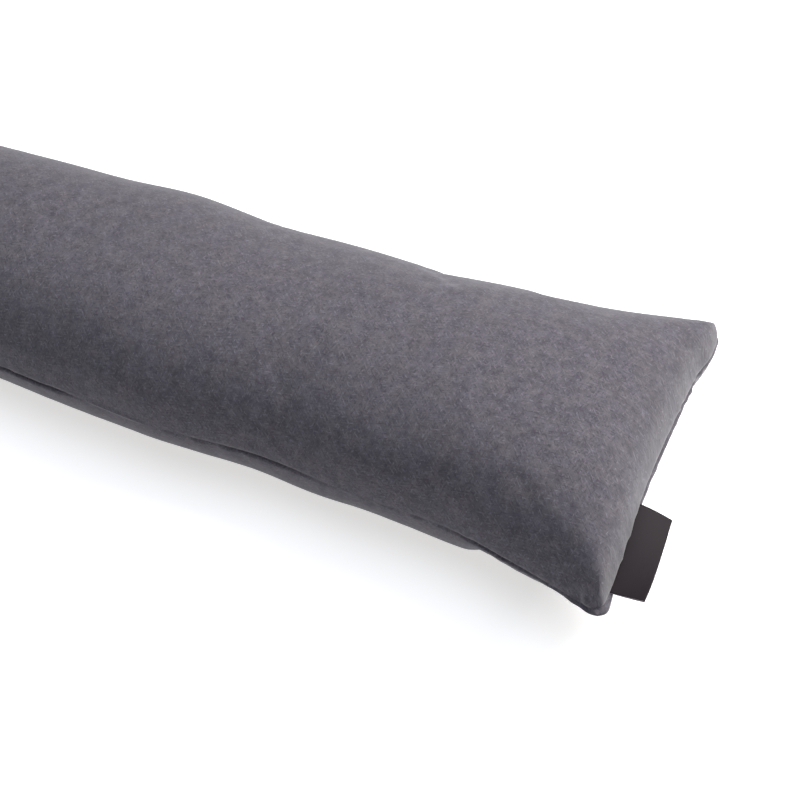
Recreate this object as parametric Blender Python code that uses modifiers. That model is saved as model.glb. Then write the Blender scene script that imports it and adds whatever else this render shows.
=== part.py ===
"""Draught excluder: a long felt cushion sewn from two panels, with a folded ribbon label in one end seam.

The cushion lies on a flat surface at z = 0, with its length along X and the label's end at +X. All sizes are in
metres.
"""

from collections import namedtuple
import math

import bmesh
import bpy

# The cushion's driving sizes
LENGTH = 0.901  # from one end's furthest point to the other's
NEAR_CORNER = 0.0895  # the panels lie flat at the four corners, so they are widest there
FAR_CORNER = 0.0862  # the label's end reaches from -NEAR_CORNER to FAR_CORNER, the plain end the other way
SEAM_HEIGHT = 0.0385  # the seam between the two panels, above the surface below
END_SEAM_HEIGHT = 0.0445  # the seam climbs towards both ends
SEAM_CLIMB_LENGTH = 0.050  # the stretch over which it does
SEAM_CLIMB_POWER = 1.5
END_SWELL_LENGTH = 0.070  # the stretch over which an end grows from its seam to full thickness
FLARE_LENGTH = 0.100  # the stretch over which the body widens towards the corners
FLARE_POWER = 1.45
END_SHAPE_LENGTH = 0.045  # how far from an end the plan of its seam is still felt
END_SHAPE_POWER = 1.5
FOOT_HALF_WIDTH = 0.022  # half of the flat strip that rests on the surface
RIDGE_SHARPNESS = 4.0  # of the ridges that run in from the corners

# One row for each section of the body, from the label's end to the plain one. far and near are the distances of
# the two side seams from the middle line, and belly is the roundness of the lower panel, where 2 is an ellipse.
Section = namedtuple("Section", "from_label_end far near top belly")
SECTIONS = (
    Section(0.000, 0.0655, 0.0655, 0.0870, 1.50),
    Section(0.045, 0.0673, 0.0650, 0.0870, 1.45),
    Section(0.063, 0.0665, 0.0652, 0.0870, 1.50),
    Section(0.074, 0.0661, 0.0656, 0.0870, 1.85),
    Section(0.100, 0.0667, 0.0672, 0.0870, 1.95),
    Section(0.132, 0.0646, 0.0664, 0.0868, 1.80),
    Section(0.172, 0.0667, 0.0627, 0.0866, 1.75),
    Section(0.211, 0.0640, 0.0652, 0.0865, 1.75),
    Section(0.237, 0.0652, 0.0662, 0.0870, 1.75),
    Section(0.285, 0.0668, 0.0620, 0.0872, 1.75),
    Section(0.335, 0.0629, 0.0592, 0.0870, 1.75),
    Section(0.370, 0.0615, 0.0620, 0.0872, 1.75),
    Section(0.410, 0.0635, 0.0655, 0.0875, 1.75),
    Section(0.495, 0.0640, 0.0640, 0.0865, 1.75),
    Section(0.575, 0.0670, 0.0640, 0.0875, 1.75),
    Section(0.660, 0.0647, 0.0637, 0.0865, 1.75),
    Section(0.745, 0.0648, 0.0668, 0.0875, 1.75),
    Section(0.901, 0.0655, 0.0655, 0.0870, 1.75),
)

# The plan of the label's end seam, from the near corner to the far one, which stands out as a rounded ear.
# drawn_in is how far the seam lies short of the full length. The plain end has the same plan turned half round.
SeamPoint = namedtuple("SeamPoint", "across drawn_in")
END_SEAM = (
    SeamPoint(-0.0895, 0.0035),
    SeamPoint(-0.0800, 0.0030),
    SeamPoint(-0.0660, 0.0034),
    SeamPoint(-0.0450, 0.0050),
    SeamPoint(-0.0280, 0.0063),
    SeamPoint(-0.0120, 0.0067),
    SeamPoint(0.0100, 0.0064),
    SeamPoint(0.0320, 0.0053),
    SeamPoint(0.0500, 0.0039),
    SeamPoint(0.0545, 0.0032),
    SeamPoint(0.0590, 0.0022),
    SeamPoint(0.0635, 0.0011),
    SeamPoint(0.0680, 0.0003),
    SeamPoint(0.0725, 0.0000),
    SeamPoint(0.0780, 0.0004),
    SeamPoint(0.0862, 0.0020),
)

# The label
LABEL_WIDTH = 0.050  # along the seam
LABEL_NEAR_SIDE = -0.078  # its side nearest the corner, across the cushion
LABEL_REACH = 0.0155  # how far the fold stands out of the seam
LABEL_LEAF = 0.0005  # thickness of one of its two layers
LABEL_GAP = 0.0004  # space between the layers
LABEL_RISE_NEAR = 0.0018  # the fold is this much above the seam at the corner's side
LABEL_DROP_FAR = 0.0045  # and this much below it at the other side
LABEL_BEND_POWER = 1.5
LABEL_CLEARANCE = 0.0003  # between the felt and the ribbon

# How finely the surfaces are divided
LENGTHWISE_STEPS = 56
CROSSWISE_STEPS = 26
END_CROWDING = 0.85  # share of the sections that crowd towards the two ends
LABEL_STEPS_ALONG = 10
LABEL_STEPS_PER_LEAF = 5
LABEL_STEPS_ROUND_FOLD = 6
WELD_DISTANCE = 0.00001

# Materials: name, colour, roughness and metallic value
FELT = ("wool_look_felt", (0.13, 0.125, 0.14, 1.0), 0.95, 0.0)
SATIN = ("satin_ribbon", (0.05, 0.04, 0.05, 1.0), 0.45, 0.0)


def clear_scene():
    for obj in list(bpy.data.objects):
        bpy.data.objects.remove(obj, do_unlink=True)


def make_material(name, colour, roughness, metallic):
    material = bpy.data.materials.new(name)
    material.use_nodes = True
    shader = material.node_tree.nodes["Principled BSDF"]
    shader.inputs["Base Color"].default_value = colour
    shader.inputs["Roughness"].default_value = roughness
    shader.inputs["Metallic"].default_value = metallic
    return material


def row_at(rows, place):
    """The row of a table at any place in its first column, with the other columns as cubic curves."""
    index = 0
    while index < len(rows) - 2 and place > rows[index + 1][0]:
        index += 1
    before, after = rows[index], rows[index + 1]
    previous, following = rows[max(index - 1, 0)], rows[min(index + 2, len(rows) - 1)]
    span = after[0] - before[0]
    share = (place - before[0]) / span
    values = []
    for earlier, low, high, later in zip(previous, before, after, following):
        slope_low = (high - earlier) / (after[0] - previous[0]) * span
        slope_high = (later - low) / (following[0] - before[0]) * span
        cubic = 2 * low - 2 * high + slope_low + slope_high
        square = 3 * high - 3 * low - 2 * slope_low - slope_high
        values.append(((cubic * share + square) * share + slope_low) * share + low)
    return type(before)(*values)


def nearness(from_end, reach):
    """1 at the end of the cushion, falling evenly to 0 at a distance of reach from it."""
    return max(0.0, 1 - from_end / reach)


def swelling(from_end):
    """0 at the end seam and 1 in the body: a quarter circle stretched over END_SWELL_LENGTH."""
    return math.sqrt(1 - nearness(from_end, END_SWELL_LENGTH) ** 2)


def rounded_lesser(first, second):
    """About the lesser of two shares from 0 to 1, rounded off where they are alike."""
    if first <= 0.0 or second <= 0.0:
        return 0.0
    raised_first = first**RIDGE_SHARPNESS
    raised_second = second**RIDGE_SHARPNESS
    bottom = raised_first + raised_second - raised_first * raised_second
    return first * second / bottom ** (1 / RIDGE_SHARPNESS)


def seam_height(from_end):
    climb = nearness(from_end, SEAM_CLIMB_LENGTH) ** SEAM_CLIMB_POWER
    return SEAM_HEIGHT + (END_SEAM_HEIGHT - SEAM_HEIGHT) * climb


def cushion_point(along, turn, upper):
    """A point of the felt.

    along runs from -1 at the plain end to 1 at the label's end. turn runs from -1 at one side seam over the
    panel to 1 at the other, and y is the half width times the sine of the turn times 90 degrees. The height
    above or below the seam is the lesser of two bulges, one across the cushion and one towards its end.
    """
    evenly = (1 - END_CROWDING) * along
    crowded = END_CROWDING * math.sin(along * math.pi / 2)
    x = (evenly + crowded) * LENGTH / 2
    from_end = LENGTH / 2 - abs(x)
    section = row_at(SECTIONS, LENGTH / 2 - x)
    seam = seam_height(from_end)

    side = math.copysign(1.0, x)
    corner_half_width = (FAR_CORNER + NEAR_CORNER) / 2
    corner_sideways = (FAR_CORNER - NEAR_CORNER) / 2 * side
    flare = nearness(from_end, FLARE_LENGTH) ** FLARE_POWER
    half_width = (section.far + section.near) / 2 * (1 - flare) + corner_half_width * flare
    sideways = (section.far - section.near) / 2 * (1 - flare) + corner_sideways * flare

    across = math.sin(turn * math.pi / 2)
    fullness = swelling(from_end)
    if upper:
        bulge = rounded_lesser(fullness, math.cos(turn * math.pi / 2))
        z = seam + (section.top - seam) * bulge
    else:
        foot = FOOT_HALF_WIDTH * fullness**2
        beyond_foot = max(0.0, (half_width * abs(across) - foot) / (half_width - foot))
        bulge = rounded_lesser(fullness, max(0.0, 1 - beyond_foot**section.belly) ** (1 / section.belly))
        z = seam * (1 - bulge)
    place_on_end_seam = (corner_sideways + corner_half_width * across) * side
    drawn_in = row_at(END_SEAM, place_on_end_seam).drawn_in
    x -= side * drawn_in * nearness(from_end, END_SHAPE_LENGTH) ** END_SHAPE_POWER
    return x, sideways + half_width * across, z


def add_panel(bm, upper):
    """One felt panel: a flat grid whose points are carried to their places on the filled cushion."""
    grid = bmesh.ops.create_grid(bm, x_segments=LENGTHWISE_STEPS, y_segments=CROSSWISE_STEPS, size=1.0)
    if not upper:
        faces = {face for vert in grid["verts"] for face in vert.link_faces}
        bmesh.ops.reverse_faces(bm, faces=list(faces))
    for vert in grid["verts"]:
        vert.co = cushion_point(vert.co.x, vert.co.y, upper)


def make_cushion():
    """The filled cushion: both panels, joined along the seam that runs all the way round."""
    bm = bmesh.new()
    add_panel(bm, upper=True)
    add_panel(bm, upper=False)
    bmesh.ops.remove_doubles(bm, verts=bm.verts, dist=WELD_DISTANCE)
    mesh = bpy.data.meshes.new("cushion")
    bm.to_mesh(mesh)
    bm.free()
    mesh.shade_smooth()
    return bpy.data.objects.new("cushion", mesh)


def fold_path():
    """The ribbon's middle line, from one raw end round the fold to the other, as (out of the seam, height)."""
    radius = (LABEL_LEAF + LABEL_GAP) / 2
    straight = LABEL_REACH - radius - LABEL_LEAF / 2
    leaf = [straight * step / LABEL_STEPS_PER_LEAF for step in range(LABEL_STEPS_PER_LEAF)]
    turns = [math.pi * step / LABEL_STEPS_ROUND_FOLD for step in range(LABEL_STEPS_ROUND_FOLD + 1)]
    upper = [(out, radius) for out in leaf]
    fold = [(straight + radius * math.sin(turn), radius * math.cos(turn)) for turn in turns]
    lower = [(out, -radius) for out in reversed(leaf)]
    return upper + fold + lower


def make_label():
    """The label: an open hairpin of ribbon, carried along the end seam and given its thickness by Solidify."""
    path = fold_path()
    points = []
    for step in range(LABEL_STEPS_ALONG + 1):
        share = step / LABEL_STEPS_ALONG
        y = LABEL_NEAR_SIDE + LABEL_WIDTH * share
        seam_x = LENGTH / 2 - row_at(END_SEAM, y).drawn_in
        tip_lift = LABEL_RISE_NEAR - (LABEL_RISE_NEAR + LABEL_DROP_FAR) * share
        for out, height in path:
            lift = tip_lift * (out / LABEL_REACH) ** LABEL_BEND_POWER
            points.append((seam_x + LABEL_CLEARANCE + out, y, END_SEAM_HEIGHT + height + lift))
    count = len(path)
    faces = []
    for row in range(LABEL_STEPS_ALONG):
        for place in range(count - 1):
            corner = row * count + place
            faces.append((corner, corner + 1, corner + count + 1, corner + count))
    mesh = bpy.data.meshes.new("label")
    mesh.from_pydata(points, [], faces)
    mesh.shade_smooth()
    label = bpy.data.objects.new("label", mesh)
    solidify = label.modifiers.new("ribbon thickness", "SOLIDIFY")
    solidify.thickness = LABEL_LEAF
    solidify.offset = 0.0
    return label


def middle_along_x(cushion, label):
    """Halfway between the plain end and the label's fold, half a ribbon thickness outside its points."""
    plain_end = min(vert.co.x for vert in cushion.data.vertices)
    fold = max(vert.co.x for vert in label.data.vertices) + LABEL_LEAF / 2
    return (plain_end + fold) / 2


def main():
    clear_scene()
    collection = bpy.data.collections.new("draught_excluder")
    bpy.context.scene.collection.children.link(collection)

    # Both pieces hang from one empty, which centres the whole object, label and all, on the origin
    cushion = make_cushion()
    label = make_label()
    centre = bpy.data.objects.new("draught_excluder", None)
    centre.location.x = -middle_along_x(cushion, label)
    collection.objects.link(centre)

    for piece, finish in ((cushion, FELT), (label, SATIN)):
        piece.data.materials.append(make_material(*finish))
        piece.parent = centre
        collection.objects.link(piece)


main()
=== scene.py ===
"""The looks of the draught excluder: a grey felt cushion with a folded ribbon label, on a plain white table.

Laid out as a Blender add-on and run as a script. All sizes are in metres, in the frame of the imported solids.
"""

import math
from collections import namedtuple

import bpy
import numpy as np
from bpy.props import FloatProperty, FloatVectorProperty, IntProperty, PointerProperty
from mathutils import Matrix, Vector


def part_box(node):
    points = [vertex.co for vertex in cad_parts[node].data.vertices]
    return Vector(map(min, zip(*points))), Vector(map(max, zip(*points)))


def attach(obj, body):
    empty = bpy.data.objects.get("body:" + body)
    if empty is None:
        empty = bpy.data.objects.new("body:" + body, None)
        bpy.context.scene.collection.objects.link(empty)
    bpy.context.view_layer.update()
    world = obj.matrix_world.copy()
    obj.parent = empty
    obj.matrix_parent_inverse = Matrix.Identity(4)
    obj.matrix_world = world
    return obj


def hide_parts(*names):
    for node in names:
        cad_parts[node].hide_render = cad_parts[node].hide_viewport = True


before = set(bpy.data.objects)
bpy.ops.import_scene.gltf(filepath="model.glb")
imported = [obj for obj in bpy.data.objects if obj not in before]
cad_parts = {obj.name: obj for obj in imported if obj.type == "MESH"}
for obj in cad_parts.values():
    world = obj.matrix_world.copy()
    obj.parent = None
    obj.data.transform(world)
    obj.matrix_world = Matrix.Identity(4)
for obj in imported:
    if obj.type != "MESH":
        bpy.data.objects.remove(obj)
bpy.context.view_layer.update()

bl_info = {
    "name": "Draught Excluder",
    "version": (1, 0, 0),
    "blender": (4, 5, 0),
    "location": "3D View > Sidebar > Draught Excluder",
    "description": "Sews, fills and finishes a felt draught excluder with a folded ribbon label",
    "category": "Add Mesh",
}

MM = 0.001
BODY = "root"

# The cushion's place and length, and the label's place along the seam, come from the solids that they replace
CUSHION_LOW, CUSHION_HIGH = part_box("cushion")
LENGTH = CUSHION_HIGH.x - CUSHION_LOW.x
CENTRE_X = (CUSHION_HIGH.x + CUSHION_LOW.x) / 2
LABEL_NEAR_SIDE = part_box("label")[0].y
# How high above the table the label is sewn in
LABEL_SEAM_HEIGHT = 0.0445

# How far the corners of the label's end lie from the middle line. The plain end is the same, turned
# half round.
FAR_CORNER = 0.0852
NEAR_CORNER = 0.0895

# The body's sections: distance from the label's end, distances of the far and the near side seam from the
# middle line, top, and roundness of the upper panel's near side and of the lower panel, where 2 is an
# ellipse. The seams and the top lie as in the solid.
Section = namedtuple("Section", "from_label_end far near top crown belly")
SECTIONS = (
    Section(0.000, 0.0655, 0.0655, 0.0870, 2.20, 1.50),
    Section(0.045, 0.0673, 0.0650, 0.0870, 2.30, 1.45),
    Section(0.063, 0.0665, 0.0652, 0.0870, 2.40, 1.55),
    Section(0.074, 0.0661, 0.0656, 0.0870, 2.50, 1.95),
    Section(0.100, 0.0667, 0.0672, 0.0870, 2.60, 2.10),
    Section(0.132, 0.0646, 0.0664, 0.0868, 2.60, 1.95),
    Section(0.172, 0.0667, 0.0627, 0.0866, 2.60, 1.95),
    Section(0.211, 0.0640, 0.0652, 0.0865, 2.55, 1.85),
    Section(0.237, 0.0652, 0.0662, 0.0870, 2.50, 1.85),
    Section(0.285, 0.0668, 0.0620, 0.0872, 2.35, 1.85),
    Section(0.335, 0.0629, 0.0592, 0.0870, 2.15, 1.85),
    Section(0.370, 0.0615, 0.0620, 0.0872, 2.05, 1.95),
    Section(0.410, 0.0635, 0.0655, 0.0875, 2.05, 1.95),
    Section(0.495, 0.0640, 0.0640, 0.0865, 2.30, 1.90),
    Section(0.575, 0.0670, 0.0640, 0.0875, 2.35, 1.90),
    Section(0.660, 0.0647, 0.0637, 0.0865, 2.30, 1.90),
    Section(0.745, 0.0648, 0.0668, 0.0875, 2.20, 1.85),
    Section(0.901, 0.0655, 0.0655, 0.0870, 2.20, 1.75),
)

# The plan of the label's end seam, from the near corner to the far one: how far it lies in from the full
# length, and how far the lower panel's edge bulges out past it. The plain end has the same plan, turned half
# round.
SeamPoint = namedtuple("SeamPoint", "across drawn_in lower_lip")
END_SEAM = (
    SeamPoint(-0.0895, 0.0056, 0.0034),
    SeamPoint(-0.0860, 0.0038, 0.0034),
    SeamPoint(-0.0800, 0.0032, 0.0026),
    SeamPoint(-0.0660, 0.0034, 0.0009),
    SeamPoint(-0.0450, 0.0050, 0.0007),
    SeamPoint(-0.0280, 0.0066, 0.0010),
    SeamPoint(-0.0120, 0.0071, 0.0013),
    SeamPoint(0.0100, 0.0067, 0.0014),
    SeamPoint(0.0320, 0.0056, 0.0012),
    SeamPoint(0.0500, 0.0044, 0.0006),
    SeamPoint(0.0550, 0.0040, 0.0002),
    SeamPoint(0.0590, 0.0031, 0.0001),
    SeamPoint(0.0635, 0.0021, 0.0001),
    SeamPoint(0.0680, 0.0013, 0.0002),
    SeamPoint(0.0725, 0.0011, 0.0003),
    SeamPoint(0.0780, 0.0014, 0.0004),
    SeamPoint(0.0852, 0.0026, 0.0002),
)

# Half of the flat strip that the cushion rests on
FOOT_HALF_WIDTH = 0.022
# How far from an end the plan of its seam is still felt, and the power by which that and the climb of the
# side seams fade out
END_PLAN_REACH = 0.045
END_FADING = 1.5
# How the lengthwise and crosswise lines of the panels crowd towards the seams
END_CROWDING = 1.3
SIDE_CROWDING = 1.4

# Colours of the lights: warm from the softboxes, cool from above
WARM_LIGHT = (1.0, 0.975, 0.945)
COOL_LIGHT = (0.86, 0.92, 1.0)
# The point on the table that the camera looks at and the lights shine on
LOOKED_AT = Vector((CENTRE_X + 0.310, 0.024, 0.0))


def linear(hex_colour):
    """An sRGB colour such as "#68656c" as linear red, green, blue and alpha."""
    parts = [int(hex_colour[place:place + 2], 16) / 255 for place in (1, 3, 5)]
    curved = [part / 12.92 if part <= 0.04045 else ((part + 0.055) / 1.055) ** 2.4 for part in parts]
    return (*curved, 1.0)


def add_node(tree, kind, settings=None, links=None):
    """Adds a node, sets its own settings and its sockets' values, and links its inputs."""
    node = tree.nodes.new(kind)
    for name, value in (settings or {}).items():
        if isinstance(name, str) and hasattr(node, name):
            setattr(node, name, value)
        else:
            node.inputs[name].default_value = value
    for name, source in (links or {}).items():
        tree.links.new(source, node.inputs[name])
    return node


# Settings that a user would change


class CushionSettings(bpy.types.PropertyGroup):
    """The filled cushion's form."""

    seam_height: FloatProperty(
        name="Seam height", description="Height of the side seams above the table",
        default=0.0385, min=0.02, max=0.07, unit="LENGTH")
    end_seam_height: FloatProperty(
        name="End seam height", description="Height of the end seams above the table",
        default=0.0445, min=0.02, max=0.07, unit="LENGTH")
    end_swell: FloatProperty(
        name="End swell", description="Stretch over which an end grows to full thickness",
        default=0.084, min=0.03, max=0.2, unit="LENGTH")
    end_roundness: FloatProperty(
        name="End roundness", description="How full the ends are, where 2 is a quarter ellipse",
        default=2.45, min=1.2, max=6.0)
    far_crown: FloatProperty(
        name="Far crown", description="How full the far side of the upper panel is, where 2 is an ellipse",
        default=2.05, min=1.2, max=6.0)
    flare: FloatProperty(
        name="Flare", description="Stretch over which the body widens towards its corners",
        default=0.100, min=0.03, max=0.2, unit="LENGTH")
    flare_power: FloatProperty(
        name="Flare curve", description="How late the flare sets in", default=1.45, min=1.0, max=3.0)
    seam_climb: FloatProperty(
        name="Seam climb", description="Stretch over which the side seams climb to the end seam",
        default=0.050, min=0.01, max=0.2, unit="LENGTH")
    ridge: FloatProperty(
        name="Ridge", description="How sharp the ridges are that run in from the corners",
        default=4.0, min=0.5, max=8.0)
    corner: FloatProperty(
        name="Corner", description="How far from a corner the seam starts to turn",
        default=0.0055, min=0.001, max=0.03, unit="LENGTH")
    side_lip: FloatProperty(
        name="Side lip", description="How far the felt stands out on both sides of the side seams",
        default=0.0002, min=0.0, max=0.004, unit="LENGTH")
    end_roll: FloatProperty(
        name="End roll", description="How far the felt stands out at the end seams and the corners",
        default=0.0016, min=0.0, max=0.004, unit="LENGTH")
    pucker: FloatProperty(
        name="Pucker", description="Height of the small puckers along the seam",
        default=0.00025, min=0.0, max=0.002, unit="LENGTH")
    lumps: FloatProperty(
        name="Lumps", description="Unevenness of the filling",
        default=0.0006, min=0.0, max=0.004, unit="LENGTH")
    cut_length: FloatProperty(
        name="Cut length", description="Length of a panel before it is sewn", default=0.925, unit="LENGTH")
    cut_width: FloatProperty(
        name="Cut width", description="Width of a panel before it is sewn", default=0.181, unit="LENGTH")
    along_steps: IntProperty(
        name="Steps along", description="Divisions along the cushion", default=440, min=60)
    across_steps: IntProperty(
        name="Steps across", description="Divisions across a panel", default=100, min=20)


class FeltSettings(bpy.types.PropertyGroup):
    """The felt's colours."""

    mid: FloatVectorProperty(
        name="Ground", description="The felt's main grey",
        subtype="COLOR", size=4, default=linear("#575356"))
    cool: FloatVectorProperty(
        name="Cool ground", description="The same grey where bluer fibres gather",
        subtype="COLOR", size=4, default=linear("#545158"))
    dark: FloatVectorProperty(
        name="Dark fibres", description="The darkest fibres in the mix",
        subtype="COLOR", size=4, default=linear("#37343b"))
    light: FloatVectorProperty(
        name="Light fibres", description="The lightest fibres in the mix",
        subtype="COLOR", size=4, default=linear("#66636a"))


class LabelSettings(bpy.types.PropertyGroup):
    """The folded ribbon label."""

    width: FloatProperty(
        name="Width", description="Along the seam", default=0.050, min=0.02, max=0.1, unit="LENGTH")
    reach: FloatProperty(
        name="Reach", description="From the seam to the fold",
        default=0.0157, min=0.005, max=0.04, unit="LENGTH")
    skew: FloatProperty(
        name="Skew", description="How much further the fold stands out at the far side than at the near one",
        default=0.0014, min=-0.005, max=0.005, unit="LENGTH")
    rise_near: FloatProperty(
        name="Near rise", description="How far the fold stands above the seam at the near side",
        default=0.0018, min=-0.01, max=0.01, unit="LENGTH")
    drop_far: FloatProperty(
        name="Far drop", description="How far the fold hangs below the seam at the far side",
        default=0.0045, min=-0.01, max=0.01, unit="LENGTH")
    ribbon: FloatProperty(
        name="Ribbon", description="Thickness of one layer",
        default=0.00022, min=0.0001, max=0.001, unit="LENGTH")
    satin: FloatVectorProperty(
        name="Satin", description="The ribbon's face",
        subtype="COLOR", size=4, default=linear("#171115"))
    edge: FloatVectorProperty(
        name="Cut edge", description="The ribbon's pale cut edges",
        subtype="COLOR", size=4, default=linear("#8f868c"))


class StageSettings(bpy.types.PropertyGroup):
    """The table, the light and the camera."""

    azimuth: FloatProperty(
        name="Azimuth", description="Camera's turn about the object",
        default=math.radians(22.6), subtype="ANGLE")
    elevation: FloatProperty(
        name="Elevation", description="Camera's height as an angle",
        default=math.radians(48.5), subtype="ANGLE")
    distance: FloatProperty(
        name="Distance", description="Camera to the point it looks at", default=0.827, unit="LENGTH")
    key: FloatProperty(
        name="Key light", description="Power of the softbox behind and to the right",
        default=23.5, unit="POWER")
    top: FloatProperty(
        name="Top light", description="Power of the large overhead light", default=31.0, unit="POWER")
    side: FloatProperty(
        name="Side light", description="Power of the lower light on the right", default=20.0, unit="POWER")
    table: FloatVectorProperty(
        name="Table", description="The table's white", subtype="COLOR", size=4, default=linear("#cfcfd0"))


# The cushion's form


def columns_at(rows, place):
    """The other columns of a table at any place in its first one, as smooth cubic curves through its rows.

    Between two rows a curve starts and ends with the slope between the rows on either side.
    """
    table = np.array(rows)
    places = table[:, 0]
    steps = np.arange(len(places))
    before, after = np.maximum(steps - 1, 0), np.minimum(steps + 1, len(places) - 1)
    row = np.clip(np.searchsorted(places, place, side="right") - 1, 0, len(places) - 2)
    span = places[row + 1] - places[row]
    share = (place - places[row]) / span
    columns = []
    for values in table.T[1:]:
        slopes = (values[after] - values[before]) / (places[after] - places[before])
        low, high = values[row], values[row + 1]
        slope_low, slope_high = slopes[row] * span, slopes[row + 1] * span
        cubic = 2 * low - 2 * high + slope_low + slope_high
        square = 3 * high - 3 * low - 2 * slope_low - slope_high
        columns.append(((cubic * share + square) * share + slope_low) * share + low)
    return columns


def nearness(from_end, reach):
    """1 at an end, falling evenly to 0 at a distance of reach."""
    return np.clip(1 - from_end / reach, 0, None)


def stations(steps, swell, roundness):
    """Where the crosswise lines lie: distance from the label's end and from the nearer end, and fullness.

    Near an end the distance e is swell (1 - cos a), where the angle a grows as a power of the place. That
    crowds the lines at the seam, and the body goes on at the same pace. The fullness is
    (1 - (1 - e / swell)^p)^(1/p), with the roundness as p.
    """
    pace = swell * END_CROWDING * math.pi / 2
    span = 2 + (LENGTH - 2 * swell) / pace
    run = np.linspace(0.0, span, steps + 1)
    inward = np.minimum(run, span - run)
    angle = np.clip(inward, 0, 1) ** END_CROWDING * math.pi / 2
    from_end = np.where(inward < 1, swell * (1 - np.cos(angle)), swell + (inward - 1) * pace)
    place = np.where(run < span / 2, from_end, LENGTH - from_end)
    fullness = (1 - nearness(from_end, swell) ** roundness) ** (1 / roundness)
    return place, from_end, fullness


def turns(steps):
    """The angle across a panel, -90 to 90 degrees, crowded towards the side seams."""
    run = np.linspace(-1.0, 1.0, steps + 1)
    return np.sign(run) * (1 - (1 - np.abs(run)) ** SIDE_CROWDING) * math.pi / 2


def rounded_lesser(first, second, power):
    """About the lesser of two shares from 0 to 1, rounded off where they are alike.

    first times second over (first^p + second^p - first^p second^p)^(1/p). The higher p, the sharper the turn.
    """
    raised_first, raised_second = first ** power, second ** power
    bottom = raised_first + raised_second - raised_first * raised_second
    return first * second / np.maximum(bottom, 1e-12) ** (1 / power)


def seam_heights(from_end, form):
    """The seam's height: that along the body, plus the climb to the end times a power of the nearness."""
    climb = form.end_seam_height - form.seam_height
    return form.seam_height + climb * nearness(from_end, form.seam_climb) ** END_FADING


def felt_panel(form, along_steps, across_steps, upper):
    """The points of one panel, as an array of crosswise lines.

    Half width times the sine of the turn gives y. The half width is the body's, blended by a power of the
    nearness to an end into the corners' half width. The bulge across is (1 - |sine|^r)^(1/r). On the upper
    panel r is the section's crown on the near side and the far crown on the far side. On the lower one r is
    the belly, and the sine is counted from the edge of the flat foot. The panel stands above or hangs below
    the seam by the section's height times the rounded lesser of the bulge and the end's fullness.
    """
    place, from_end, fullness = (
        line[:, None] for line in stations(along_steps, form.end_swell, form.end_roundness))
    turn = turns(across_steps)[None, :]

    far, near, top, crown, belly = columns_at(SECTIONS, place)
    flare = nearness(from_end, form.flare) ** form.flare_power
    side = np.where(place < LENGTH / 2, 1.0, -1.0)
    corner_half_width = (FAR_CORNER + NEAR_CORNER) / 2
    corner_sideways = (FAR_CORNER - NEAR_CORNER) / 2 * side
    half_width = (far + near) / 2 * (1 - flare) + corner_half_width * flare
    sideways = (far - near) / 2 * (1 - flare) + corner_sideways * flare
    seam = seam_heights(from_end, form)
    across = np.sin(turn)
    if upper:
        crown = np.where(across > 0, form.far_crown, crown)
        bulge = (1 - np.abs(across) ** crown) ** (1 / crown)
        height = seam + (top - seam) * rounded_lesser(fullness, bulge, form.ridge)
    else:
        foot = FOOT_HALF_WIDTH * fullness ** 2
        beyond = np.clip((half_width * np.abs(across) - foot) / (half_width - foot), 0, 1)
        bulge = (1 - beyond ** belly) ** (1 / belly)
        height = seam * (1 - rounded_lesser(fullness, bulge, form.ridge))

    drawn_in = columns_at(END_SEAM, (corner_sideways + across * corner_half_width) * side)[0]
    x = CENTRE_X + LENGTH / 2 - place - side * drawn_in * nearness(from_end, END_PLAN_REACH) ** END_FADING
    y = sideways + half_width * across
    x, y = round_corners(x, y, from_end, half_width * (1 - np.abs(across)), form.corner)
    return np.stack(np.broadcast_arrays(x, y, height), axis=-1).copy()


def round_corners(x, y, from_end, from_side, reach):
    """Draws the four corners in, so that the seam turns each one in a small arc.

    A point at shares a and b of the reach from the end seam and the side seam moves in from both by a quarter
    of the reach, times (1 - a)^2 (1 - b)^2, which gives a smooth turn at the tip.
    """
    shift = reach / 4 * nearness(from_end, reach) ** 2 * nearness(from_side, reach) ** 2
    return x - np.sign(x - CENTRE_X) * shift, y - np.sign(y) * shift


def panel_indices(along_steps, across_steps):
    """Vertex numbers of both panels as grids that share the ring of vertices on the seam."""
    rows, columns = along_steps + 1, across_steps + 1
    upper = np.arange(rows * columns).reshape(rows, columns)
    lower = upper.copy()
    inside = (rows - 2) * (columns - 2)
    lower[1:-1, 1:-1] = rows * columns + np.arange(inside).reshape(rows - 2, columns - 2)
    return upper, lower


def grid_faces(index, flip):
    """The four-sided faces of a grid of vertex numbers."""
    corners = [index[:-1, :-1], index[:-1, 1:], index[1:, 1:], index[1:, :-1]]
    if flip:
        corners.reverse()
    return np.stack(corners, axis=-1).reshape(-1, 4)


def weld_panels(name, upper, lower):
    """A closed mesh of the two panels' points, with its faces outwards."""
    upper_index, lower_index = panel_indices(upper.shape[0] - 1, upper.shape[1] - 1)
    points = np.empty((lower_index.max() + 1, 3))
    points[lower_index] = lower
    points[upper_index] = upper
    faces = np.concatenate([grid_faces(upper_index, False), grid_faces(lower_index, True)])
    mesh = bpy.data.meshes.new(name)
    mesh.from_pydata(points, [], faces.tolist())
    mesh.shade_smooth()
    return mesh


def read_points(mesh):
    """The mesh's points, as an array of x, y and z."""
    points = np.empty(len(mesh.vertices) * 3, dtype=np.float32)
    mesh.vertices.foreach_get("co", points)
    return points.reshape(-1, 3).astype(float)


# The cloth that settles over the filling


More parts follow.
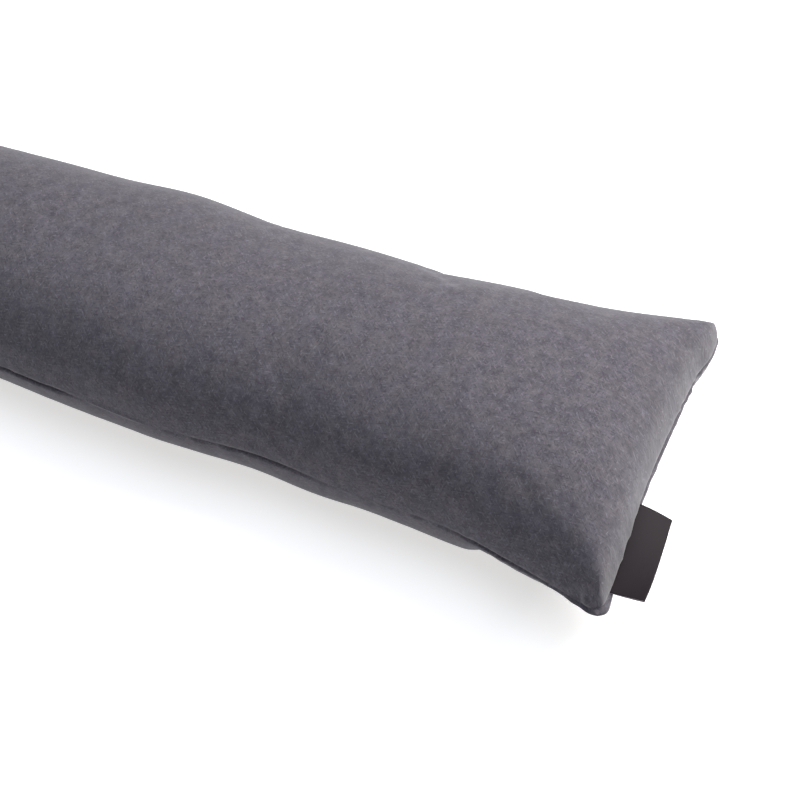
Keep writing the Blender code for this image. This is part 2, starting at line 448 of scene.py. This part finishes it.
def smooth_weights(coarse, fine):
    """A matrix that carries values on coarse + 1 even places to fine + 1 places by Catmull-Rom curves."""
    at = np.linspace(0, coarse, fine + 1)
    base = np.minimum(at.astype(int), coarse - 1)
    share = at - base
    weights = np.zeros((fine + 1, coarse + 1))
    rows = np.arange(fine + 1)
    curves = (
        (-1, -0.5 * share + share ** 2 - 0.5 * share ** 3),
        (0, 1 - 2.5 * share ** 2 + 1.5 * share ** 3),
        (1, 0.5 * share + 2 * share ** 2 - 1.5 * share ** 3),
        (2, -0.5 * share ** 2 + 0.5 * share ** 3),
    )
    for offset, weight in curves:
        np.add.at(weights, (rows, np.clip(base + offset, 0, coarse)), weight)
    return weights


def flat_panel(form, along_steps, across_steps):
    """Where a panel's points lie on the cut felt: along it by their places, and across it by their turns."""
    place = stations(along_steps, form.end_swell, form.end_roundness)[0][:, None]
    along = (0.5 - place / LENGTH) * form.cut_length
    across = turns(across_steps)[None, :] / math.pi * form.cut_width
    return np.stack(np.broadcast_arrays(CENTRE_X + along, across, 0 * along), axis=-1).copy()


def smoothed_along(grid, reach):
    """A grid of values smoothed over about reach crosswise lines, with its ends held."""
    offsets = np.arange(-3 * reach, 3 * reach + 1)
    weights = np.exp(-0.5 * (offsets / reach) ** 2)
    held = np.pad(grid, ((3 * reach, 3 * reach), (0, 0), (0, 0)), mode="edge")
    shifted = (weight * held[step:step + len(grid)] for step, weight in enumerate(weights / weights.sum()))
    return sum(shifted)


def seam_distances(points):
    """Distance over the felt from the side seams, and from the end seams, at each point of a panel."""
    def from_edges(grid):
        steps = np.linalg.norm(np.diff(grid, axis=0), axis=-1)
        gone = np.concatenate([np.zeros((1, grid.shape[1])), np.cumsum(steps, axis=0)])
        return np.minimum(gone, gone[-1] - gone)

    return from_edges(points.swapaxes(0, 1)).T, from_edges(points)


def cloth_moves(form, upper, lower, frames):
    """How far each point of the two panels moves as a cloth that starts on the form and is pressed outwards.

    The cloth wants the size of its flat shape, which is two cut rectangles sewn together.
    """
    along_steps, across_steps = upper.shape[0] - 1, upper.shape[1] - 1
    mesh = weld_panels("settling felt", upper, lower)
    cloth_object = bpy.data.objects.new("settling felt", mesh)
    bpy.context.scene.collection.objects.link(cloth_object)
    start = read_points(mesh)

    flat = flat_panel(form, along_steps, across_steps)
    upper_index, lower_index = panel_indices(along_steps, across_steps)
    flat_points = np.empty_like(start)
    flat_points[lower_index] = flat
    flat_points[upper_index] = flat
    cloth_object.shape_key_add(name="sewn")
    cut = cloth_object.shape_key_add(name="cut")
    cut.data.foreach_set("co", flat_points.astype(np.float32).ravel())

    modifier = cloth_object.modifiers.new("settling", "CLOTH")
    felt = modifier.settings
    felt.rest_shape_key = cut
    felt.quality = 6
    felt.mass = 0.02
    felt.air_damping = 20.0
    felt.tension_stiffness = felt.compression_stiffness = 60.0
    felt.shear_stiffness = 20.0
    felt.bending_stiffness = 1.0
    felt.tension_damping = felt.compression_damping = felt.shear_damping = 20.0
    felt.use_pressure = True
    felt.uniform_pressure_force = 8.0
    felt.effector_weights.gravity = 0.0
    modifier.collision_settings.use_collision = False
    modifier.point_cache.frame_start = 1
    modifier.point_cache.frame_end = frames
    for number in range(1, frames + 1):
        bpy.context.scene.frame_set(number)

    settled = cloth_object.evaluated_get(bpy.context.evaluated_depsgraph_get()).to_mesh()
    moved = read_points(settled) - start
    bpy.context.scene.frame_set(1)
    bpy.data.objects.remove(cloth_object)
    bpy.data.meshes.remove(mesh)
    return moved[upper_index], moved[lower_index]


def wrinkles(form, along_steps=156, across_steps=36, frames=16, most=0.005):
    """The felt's wrinkles, as moves of the points of each panel on a coarse grid.

    Of each point's move in the cloth only what differs from the smoothed moves beside it along the cushion is
    kept, so the form stays as measured. A move of length d is cut to most times tanh(d / most). It fades out
    towards the seams by 1 - exp(-(s / reach)^2), at a distance s from them.
    """
    smoothing, side_reach, end_reach = 4, 0.006, 0.030
    panels = [felt_panel(form, along_steps, across_steps, upper) for upper in (True, False)]
    kept = []
    for points, moves in zip(panels, cloth_moves(form, *panels, frames)):
        move = moves - smoothed_along(moves, smoothing)
        distance = np.linalg.norm(move, axis=-1, keepdims=True)
        move *= most * np.tanh(distance / most) / np.maximum(distance, 1e-9)
        side, end = seam_distances(points)
        fading = (1 - np.exp(-((side / side_reach) ** 2))) * (1 - np.exp(-((end / end_reach) ** 2)))
        kept.append(move * fading[..., None])
    return kept


# Seams, puckers and lumps


def normals_of(points, flip):
    """Unit normals of a grid of points, from its two directions."""
    along = np.gradient(points, axis=0)
    across = np.gradient(points, axis=1)
    normal = np.cross(along, across) * (-1 if flip else 1)
    return normal / np.maximum(np.linalg.norm(normal, axis=-1, keepdims=True), 1e-12)


def uneven_wave(place, shortest, longest, count, seed):
    """A wave along a line: the sum of cosines of many lengths and phases, scaled to about 1."""
    random = np.random.default_rng(seed)
    lengths = random.uniform(shortest, longest, count)
    phases = random.uniform(0, 2 * math.pi, count)
    total = sum(np.cos(2 * math.pi * place / length + phase) for length, phase in zip(lengths, phases))
    return total / math.sqrt(count / 2)


def lumpiness(points, shortest, longest, count, seed):
    """Soft unevenness in space: cosines along many directions and of many lengths, scaled to about 1."""
    random = np.random.default_rng(seed)
    total = np.zeros(points.shape[:-1])
    for _ in range(count):
        direction = random.normal(size=3)
        direction /= np.linalg.norm(direction)
        length = random.uniform(shortest, longest)
        total += np.cos(points @ direction * 2 * math.pi / length + random.uniform(0, 2 * math.pi))
    return total / math.sqrt(count / 2)


def puckers(distance, place, seed):
    """Puckers beside a seam: an uneven wave along it, stronger in patches, times a hump of the distance d.

    The hump is share (d / peak) exp(1 - d / peak) + (1 - share) exp(-d / reach), which is highest a few
    millimetres from the seam and gone after a couple of centimetres.
    """
    peak, reach, share = 0.003, 0.008, 0.6
    everywhere, in_patches = 0.55, 0.45
    wave = uneven_wave(place, shortest=0.006, longest=0.017, count=9, seed=seed)
    slow_wave = uneven_wave(place, shortest=0.05, longest=0.11, count=5, seed=seed + 1)
    patches = everywhere + in_patches * slow_wave
    hump = share * distance / peak * np.exp(1 - distance / peak) + (1 - share) * np.exp(-distance / reach)
    return wave * patches * hump


def sew(upper, lower, form):
    """Draws the seam into the felt, rolls its edges, raises its puckers and adds the filling's lumps.

    At a distance d over the felt from the seam, a panel's lip stands out by its height times
    (1 - exp(-(d / width)^2)) exp(-(d / reach)^2). The first factor also brings the puckers and lumps to
    nothing on the seam. Along the body the lips are slight. Near an end both stand out further, and the lower
    panel bulges outwards too, by the lower lip of END_SEAM. No point goes below the table.
    """
    groove_width, lip_reach, bulge_reach, end_reach = 0.0009, 0.008, 0.006, 0.026
    panels = []
    for points, flip, seed in ((upper, True, 11), (lower, False, 23)):
        side, end = seam_distances(points)
        nearest = np.minimum(side, end)
        by_end = np.exp(-((end / end_reach) ** 2))
        open_seam = 1 - np.exp(-((nearest / groove_width) ** 2))

        height = form.pucker * puckers(side, points[..., 0], seed)
        height += form.pucker * puckers(end, points[..., 1], seed + 5)
        height += form.lumps * lumpiness(points, shortest=0.045, longest=0.12, count=14, seed=7)
        lip = form.side_lip + (form.end_roll - form.side_lip) * by_end
        height += lip * np.exp(-((nearest / lip_reach) ** 2))
        sewn = points + normals_of(points, flip) * (height * open_seam)[..., None]
        if not flip:
            turn = np.where(points[..., 0] > CENTRE_X, 1.0, -1.0)
            bulge = columns_at(END_SEAM, points[..., 1] * turn)[1] * by_end * open_seam
            bulge *= np.exp(-((nearest / bulge_reach) ** 2))
            sewn[..., 0] += turn * bulge * np.exp(-end / bulge_reach)
            sewn[..., 1] += np.sign(points[..., 1]) * bulge * np.exp(-side / bulge_reach)
        sewn[..., 2] = np.maximum(sewn[..., 2], 0.0)
        panels.append(sewn)
    return panels


def cloth_coordinates(mesh, upper, lower):
    """A UV map in metres over the felt, so that a pattern keeps its real size.

    u is the place along the panel and v the distance over it from its middle. The two panels' maps lie apart.
    """
    apart = 0.3
    layer = mesh.uv_layers.new(name="felt")
    columns = upper.shape[1]
    values = []
    for points, flip, shift in ((upper, False, apart), (lower, True, -apart)):
        steps = np.linalg.norm(np.diff(points, axis=1), axis=-1)
        gone = np.concatenate([np.zeros((points.shape[0], 1)), np.cumsum(steps, axis=1)], axis=1)
        v = gone - gone[:, [columns // 2]] + shift
        u = np.broadcast_to(points[:, [columns // 2], 0], v.shape)
        grid = np.arange(v.size).reshape(v.shape)
        corners = grid_faces(grid, flip).ravel()
        values.append(np.stack([u.ravel()[corners], v.ravel()[corners]], axis=-1))
    layer.data.foreach_set("uv", np.concatenate(values).astype(np.float32).ravel())


def make_cushion(form):
    """The filled cushion: both panels on the form, wrinkled, and sewn together along their edges."""
    panels = [felt_panel(form, form.along_steps, form.across_steps, upper) for upper in (True, False)]
    for points, moves in zip(panels, wrinkles(form)):
        along = smooth_weights(moves.shape[0] - 1, form.along_steps)
        across = smooth_weights(moves.shape[1] - 1, form.across_steps)
        points += np.einsum("ai,ijk,bj->abk", along, moves, across)
    upper, lower = sew(*panels, form)
    mesh = weld_panels("felt_cushion", upper, lower)
    cloth_coordinates(mesh, upper, lower)
    cushion = bpy.data.objects.new("felt_cushion", mesh)
    bpy.context.scene.collection.objects.link(cushion)
    return cushion


# The label


def end_seam_at(y):
    """How far along X the label's end seam lies, at a place across the cushion."""
    return CENTRE_X + LENGTH / 2 - columns_at(END_SEAM, y)[0]


def ribbon_sheet(label, bends, rows):
    """The folded ribbon's middle surface, from one cut end round the fold to the other.

    Seen from the side it is a hairpin: a run out from the seam, a half turn of radius half the gap, and a run
    back. The layers part by the gap times the square root of the share of the run. Each point is lifted by
    the bend: rise times (share of the reach)^1.5. The rise changes evenly from one long side of the ribbon to
    the other, and so does the reach, by the skew in all.
    """
    half_gap, fold_points, parting_power, bend_power = 0.00035, 15, 0.5, 1.5
    straight = label.reach - half_gap
    out = np.linspace(0, 1, bends)
    fold = np.linspace(-math.pi / 2, math.pi / 2, fold_points)[1:-1]
    parting = half_gap * out ** parting_power
    reach = np.concatenate([out * straight, straight + half_gap * np.cos(fold), out[::-1] * straight])
    lift = np.concatenate([-parting, half_gap * np.sin(fold), parting[::-1]])
    side = np.linspace(0, 1, rows)[:, None]
    rise = label.rise_near + (-label.drop_far - label.rise_near) * side
    y = LABEL_NEAR_SIDE + label.width * side + 0 * reach[None, :]
    x = end_seam_at(y) + reach[None, :] * (1 + label.skew / label.reach * (side - 0.5))
    z = LABEL_SEAM_HEIGHT + lift[None, :] + rise * (reach[None, :] / label.reach) ** bend_power
    return np.stack([x, y, z], axis=-1)


def make_label(label):
    """The folded label: the ribbon's middle surface, given the ribbon's thickness."""
    points = ribbon_sheet(label, bends=40, rows=60)
    index = np.arange(points.shape[0] * points.shape[1]).reshape(points.shape[:2])
    mesh = bpy.data.meshes.new("ribbon_label")
    mesh.from_pydata(points.reshape(-1, 3), [], grid_faces(index, False).tolist())
    mesh.shade_smooth()
    ribbon = bpy.data.objects.new("ribbon_label", mesh)
    bpy.context.scene.collection.objects.link(ribbon)
    wall = ribbon.modifiers.new("ribbon", "SOLIDIFY")
    wall.thickness = label.ribbon
    wall.offset = 0.0
    wall.material_offset_rim = 1
    return ribbon


# Materials


def satin_material(colour):
    """Woven satin ribbon of polyester: long floats of fine warp threads, so it is smooth with a soft gloss.

    The real threads lie 0.12 mm apart. They are drawn 0.4 mm apart, which this view can just show. At a scale
    of 1 the wave is pi / 10 long.
    """
    thread_spacing = 0.4 * MM
    material = bpy.data.materials.new("polyester_satin_woven")
    material.use_nodes = True
    tree = material.node_tree
    shader = tree.nodes["Principled BSDF"]
    place = add_node(tree, "ShaderNodeTexCoord")
    threads = add_node(
        tree, "ShaderNodeTexWave",
        {"wave_type": "BANDS", "bands_direction": "Y", "Scale": math.pi / 10 / thread_spacing,
         "Distortion": 0.6, "Detail": 2.0},
        {"Vector": place.outputs["Object"]})
    bump = add_node(
        tree, "ShaderNodeBump", {"Strength": 0.25, "Distance": 0.05 * MM}, {"Height": threads.outputs[1]})
    tree.links.new(bump.outputs[0], shader.inputs["Normal"])
    shader.inputs["Base Color"].default_value = colour
    shader.inputs["Roughness"].default_value = 0.6
    shader.inputs["Specular IOR Level"].default_value = 0.12
    return material


def cut_edge_material(colour):
    """The ribbon's edges, cut with heat: pale melted threads that catch the light."""
    material = bpy.data.materials.new("polyester_heat_cut")
    material.use_nodes = True
    shader = material.node_tree.nodes["Principled BSDF"]
    shader.inputs["Base Color"].default_value = colour
    shader.inputs["Roughness"].default_value = 0.5
    return material


# The ticks that stand for the felt's fibres: their angle in degrees, width and length in millimetres, and
# where in the noise they are taken from
Ticks = namedtuple("Ticks", "angle width length shift")
FELT_TICKS = (
    Ticks(12, 0.80, 3.2, 0.0),
    Ticks(74, 0.75, 2.8, 31.0),
    Ticks(133, 0.80, 3.6, 67.0),
)


def felt_material(colours):
    """Wool-look felt, carded from dark and light fibres and pressed.

    Short fibres of unlike greys lie in every direction, so the eye sees a fine salt-and-pepper grain, quite
    matt, with a paler bloom where it is seen at a slant. Real fibres are about 0.03 mm thick, which no render
    at this distance shows, so they are drawn as ticks about 0.8 mm wide and 3 mm long, as they merge to the
    eye.
    """
    mottle_mm, cloud_mm, nap_mm = 7.0, 11.0, 1.4
    material = bpy.data.materials.new("wool_look_felt_pressed")
    material.use_nodes = True
    tree = material.node_tree
    shader = tree.nodes["Principled BSDF"]
    place = add_node(tree, "ShaderNodeTexCoord")
    millimetres = add_node(
        tree, "ShaderNodeVectorMath", {"operation": "SCALE", "Scale": 1 / MM}, {0: place.outputs["UV"]})

    ticks = []
    for kind in FELT_TICKS:
        lay = add_node(
            tree, "ShaderNodeMapping",
            {"vector_type": "TEXTURE", "Rotation": (0, 0, math.radians(kind.angle)),
             "Scale": (kind.length, kind.width, 1), "Location": (kind.shift, kind.shift, 0)},
            {"Vector": millimetres.outputs[0]})
        noise = add_node(
            tree, "ShaderNodeTexNoise",
            {"noise_dimensions": "2D", "Scale": 1.0, "Detail": 1.0, "Roughness": 0.6},
            {"Vector": lay.outputs[0]})
        ticks.append(noise.outputs[0])
    darkest = add_node(tree, "ShaderNodeMath", {"operation": "MINIMUM"}, {0: ticks[0], 1: ticks[1]})
    darkest = add_node(tree, "ShaderNodeMath", {"operation": "MINIMUM"}, {0: darkest.outputs[0], 1: ticks[2]})
    lightest = add_node(tree, "ShaderNodeMath", {"operation": "MAXIMUM"}, {0: ticks[0], 1: ticks[1]})
    lightest = add_node(
        tree, "ShaderNodeMath", {"operation": "MAXIMUM"}, {0: lightest.outputs[0], 1: ticks[2]})

    dark_share = add_node(
        tree, "ShaderNodeMapRange", {"From Min": 0.40, "From Max": 0.20, "To Min": 0.0, "To Max": 0.8},
        {"Value": darkest.outputs[0]})
    light_share = add_node(
        tree, "ShaderNodeMapRange", {"From Min": 0.65, "From Max": 0.88, "To Min": 0.0, "To Max": 0.9},
        {"Value": lightest.outputs[0]})
    mottling = add_node(
        tree, "ShaderNodeTexNoise",
        {"noise_dimensions": "2D", "Scale": 1 / mottle_mm, "Detail": 3.0, "Roughness": 0.75},
        {"Vector": millimetres.outputs[0]})
    mottled_share = add_node(
        tree, "ShaderNodeMapRange", {"From Min": 0.25, "From Max": 0.75, "To Min": 0.0, "To Max": 0.75},
        {"Value": mottling.outputs[0]})
    clouds = add_node(
        tree, "ShaderNodeTexNoise",
        {"noise_dimensions": "2D", "Scale": 1 / cloud_mm, "Detail": 2.0, "Roughness": 0.6},
        {"Vector": millimetres.outputs[0]})
    cool_share = add_node(
        tree, "ShaderNodeMapRange", {"From Min": 0.3, "From Max": 0.7, "To Min": 0.0, "To Max": 1.0},
        {"Value": clouds.outputs[0]})

    hue = add_node(
        tree, "ShaderNodeMix", {"data_type": "RGBA", 6: colours.mid, 7: colours.cool},
        {0: cool_share.outputs[0]})
    ground = add_node(
        tree, "ShaderNodeMix", {"data_type": "RGBA", 7: colours.dark},
        {0: mottled_share.outputs[0], 6: hue.outputs[2]})
    darker = add_node(
        tree, "ShaderNodeMix", {"data_type": "RGBA", 7: colours.dark},
        {0: dark_share.outputs[0], 6: ground.outputs[2]})
    mixed = add_node(
        tree, "ShaderNodeMix", {"data_type": "RGBA", 7: colours.light},
        {0: light_share.outputs[0], 6: darker.outputs[2]})
    tree.links.new(mixed.outputs[2], shader.inputs["Base Color"])

    nap = add_node(
        tree, "ShaderNodeTexNoise",
        {"noise_dimensions": "2D", "Scale": 1 / nap_mm, "Detail": 3.0, "Roughness": 0.7},
        {"Vector": millimetres.outputs[0]})
    relief = add_node(
        tree, "ShaderNodeMath", {"operation": "ADD"}, {0: nap.outputs[0], 1: lightest.outputs[0]})
    relief = add_node(
        tree, "ShaderNodeMath", {"operation": "ADD"}, {0: relief.outputs[0], 1: darkest.outputs[0]})
    bump = add_node(
        tree, "ShaderNodeBump", {"Strength": 0.3, "Distance": 0.2 * MM}, {"Height": relief.outputs[0]})
    tree.links.new(bump.outputs[0], shader.inputs["Normal"])
    shader.inputs["Roughness"].default_value = 0.95
    shader.inputs["Specular IOR Level"].default_value = 0.15
    shader.inputs["Sheen Weight"].default_value = 0.25
    shader.inputs["Sheen Roughness"].default_value = 0.45
    return material


def table_material(colour):
    """A white laminate table top, matt, that glows evenly with painted light of its own though it is no lamp:
    the glow lightens the cushion's shadow on it and lights the felt from below, so the eye sees only a plain
    pale ground.
    """
    material = bpy.data.materials.new("white_laminate_glowing")
    material.use_nodes = True
    shader = material.node_tree.nodes["Principled BSDF"]
    shader.inputs["Base Color"].default_value = colour
    shader.inputs["Roughness"].default_value = 0.9
    shader.inputs["Specular IOR Level"].default_value = 0.1
    # Painted light: the table top glows, which lightens the cushion's cast shadow on it and lights the felt
    # from below
    shader.inputs["Emission Color"].default_value = linear("#fffefb")
    shader.inputs["Emission Strength"].default_value = 0.65
    return material


# The stage


def make_table(colour):
    """A flat square of table top under the cushion."""
    half = 4.0
    corners = [(-half, -half, 0), (half, -half, 0), (half, half, 0), (-half, half, 0)]
    mesh = bpy.data.meshes.new("table_top")
    mesh.from_pydata(corners, [], [(0, 1, 2, 3)])
    mesh.materials.append(table_material(colour))
    table = bpy.data.objects.new("table_top", mesh)
    bpy.context.scene.collection.objects.link(table)


def add_area_light(name, direction, distance, size, power, colour):
    """A round softbox in a direction from the point looked at, turned to shine on it."""
    light = bpy.data.lights.new(name, "AREA")
    light.shape = "DISK"
    light.size = size
    light.energy = power
    light.color = colour
    lamp = bpy.data.objects.new(name, light)
    towards = Vector(direction).normalized()
    lamp.location = LOOKED_AT + towards * distance
    lamp.rotation_euler = towards.to_track_quat("Z", "Y").to_euler()
    bpy.context.scene.collection.objects.link(lamp)


def add_world_light():
    """A faint blue light from all round, as a studio's walls give."""
    world = bpy.data.worlds.new("studio")
    world.use_nodes = True
    background = world.node_tree.nodes["Background"]
    background.inputs["Color"].default_value = linear("#8c9eff")
    background.inputs["Strength"].default_value = 0.05
    bpy.context.scene.world = world


def add_camera(settings):
    """A camera at azimuth a and elevation e, which looks back along (sin a cos e, -cos a cos e, sin e)."""
    camera = bpy.data.cameras.new("camera")
    camera.lens = 50.0
    camera.sensor_width = 24.0
    camera.clip_end = 50.0
    viewer = bpy.data.objects.new("camera", camera)
    level = math.cos(settings.elevation)
    back = Vector((
        math.sin(settings.azimuth) * level,
        -math.cos(settings.azimuth) * level,
        math.sin(settings.elevation)))
    viewer.location = LOOKED_AT + back * settings.distance
    viewer.rotation_euler = back.to_track_quat("Z", "Y").to_euler()
    bpy.context.scene.collection.objects.link(viewer)
    bpy.context.scene.camera = viewer


# Operators and panel


class EXCLUDER_OT_cushion(bpy.types.Operator):
    """Sew the two felt panels together and fill them"""

    bl_idname = "excluder.cushion"
    bl_label = "Sew and fill the cushion"

    def execute(self, context):
        cushion = make_cushion(context.scene.excluder_cushion)
        cushion.data.materials.append(felt_material(context.scene.excluder_felt))
        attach(cushion, BODY)
        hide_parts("cushion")
        return {"FINISHED"}


class EXCLUDER_OT_label(bpy.types.Operator):
    """Fold the ribbon label and sew it into the end seam"""

    bl_idname = "excluder.label"
    bl_label = "Fold and sew in the label"

    def execute(self, context):
        settings = context.scene.excluder_label
        label = make_label(settings)
        label.data.materials.append(satin_material(settings.satin))
        label.data.materials.append(cut_edge_material(settings.edge))
        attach(label, BODY)
        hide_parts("label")
        return {"FINISHED"}


class EXCLUDER_OT_stage(bpy.types.Operator):
    """Set the table, the lights and the camera"""

    bl_idname = "excluder.stage"
    bl_label = "Set the stage"

    def execute(self, context):
        settings = context.scene.excluder_stage
        make_table(settings.table)
        add_area_light(
            "key", direction=(0.5, 0.5, 1.0), distance=1.3, size=0.72, power=settings.key, colour=WARM_LIGHT)
        add_area_light(
            "top", direction=(0.0, 0.0, 1.0), distance=1.8, size=2.2, power=settings.top, colour=COOL_LIGHT)
        add_area_light(
            "side", direction=(1.0, 1.0, 1.0), distance=1.8, size=1.0, power=settings.side, colour=WARM_LIGHT)
        add_world_light()
        add_camera(settings)
        context.scene.view_settings.view_transform = "Standard"
        return {"FINISHED"}


class EXCLUDER_PT_sidebar(bpy.types.Panel):
    """Lists the pieces and the stage"""

    bl_label = "Draught Excluder"
    bl_space_type = "VIEW_3D"
    bl_region_type = "UI"
    bl_category = "Draught Excluder"

    def draw(self, context):
        for piece in PIECES:
            self.layout.operator(piece.bl_idname)


PIECES = (EXCLUDER_OT_cushion, EXCLUDER_OT_label, EXCLUDER_OT_stage)
SETTINGS = {
    "excluder_cushion": CushionSettings,
    "excluder_felt": FeltSettings,
    "excluder_label": LabelSettings,
    "excluder_stage": StageSettings,
}


def register():
    for group in (*SETTINGS.values(), *PIECES, EXCLUDER_PT_sidebar):
        bpy.utils.register_class(group)
    for name, group in SETTINGS.items():
        setattr(bpy.types.Scene, name, PointerProperty(type=group))


def unregister():
    for name in SETTINGS:
        delattr(bpy.types.Scene, name)
    for group in (EXCLUDER_PT_sidebar, *reversed(PIECES), *reversed(SETTINGS.values())):
        bpy.utils.unregister_class(group)


def main():
    register()
    bpy.ops.excluder.cushion()
    bpy.ops.excluder.label()
    bpy.ops.excluder.stage()


if __name__ == "__main__":
    main()
